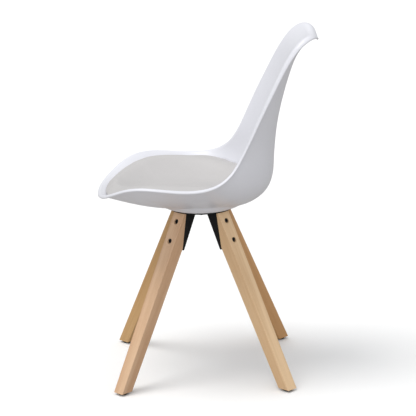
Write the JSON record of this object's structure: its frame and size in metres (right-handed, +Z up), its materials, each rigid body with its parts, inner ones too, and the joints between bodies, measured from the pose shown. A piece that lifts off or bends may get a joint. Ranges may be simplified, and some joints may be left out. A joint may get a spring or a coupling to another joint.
{
  "type": "dining chair",
  "caption": "Dining chair with a moulded white bucket seat, a padded seat cushion and splayed square wooden legs under a round steel plate.",
  "frame": {"origin": "on the floor, under the centre of the chair's overall box", "axes": "+Z up, -Y the way the sitter faces, +X towards the sitter's left"},
  "size_m": [0.433, 0.531, 0.8325],
  "materials": {
    "white_shell": "semi-gloss moulded polypropylene",
    "cushion_leather": "fine-grained artificial leather, matte",
    "beech_wood": "clear satin lacquer over pale straight grain",
    "black_steel": "black powder coat, satin",
    "black_oxide_bolt": "black oxide, satin",
    "zinc_steel": "zinc plated",
    "brass_insert": "as turned",
    "black_nylon": "matte",
    "foam": "open cell, matte",
    "board_wood": "raw moulded ply"
  },
  "bodies": {
    "root": {"leg_front_left": "beech_wood", "bracket_front_left": "black_steel", "leg_bolts_front_left": "black_oxide_bolt", "leg_washers_front_left": "black_oxide_bolt", "leg_nuts_front_left": "zinc_steel", "glide_front_left": "black_nylon", "leg_rear_left": "beech_wood", "bracket_rear_left": "black_steel", "leg_bolts_rear_left": "black_oxide_bolt", "leg_washers_rear_left": "black_oxide_bolt", "leg_nuts_rear_left": "zinc_steel", "glide_rear_left": "black_nylon", "leg_rear_right": "beech_wood", "bracket_rear_right": "black_steel", "leg_bolts_rear_right": "black_oxide_bolt", "leg_washers_rear_right": "black_oxide_bolt", "leg_nuts_rear_right": "zinc_steel", "glide_rear_right": "black_nylon", "leg_front_right": "beech_wood", "bracket_front_right": "black_steel", "leg_bolts_front_right": "black_oxide_bolt", "leg_washers_front_right": "black_oxide_bolt", "leg_nuts_front_right": "zinc_steel", "glide_front_right": "black_nylon", "glide_nails": "zinc_steel", "mounting_plate": "black_steel", "seat_screws": "black_oxide_bolt", "seat_spring_washers": "zinc_steel", "seat_washers": "zinc_steel", "shell_inserts": "brass_insert", "cushion_screws": "zinc_steel", "cushion_tnuts": "zinc_steel", "seat_shell": "white_shell", "cushion_board": "board_wood", "cushion_foam": "foam", "cushion_cover": "cushion_leather"}
  },
  "joints": []
}
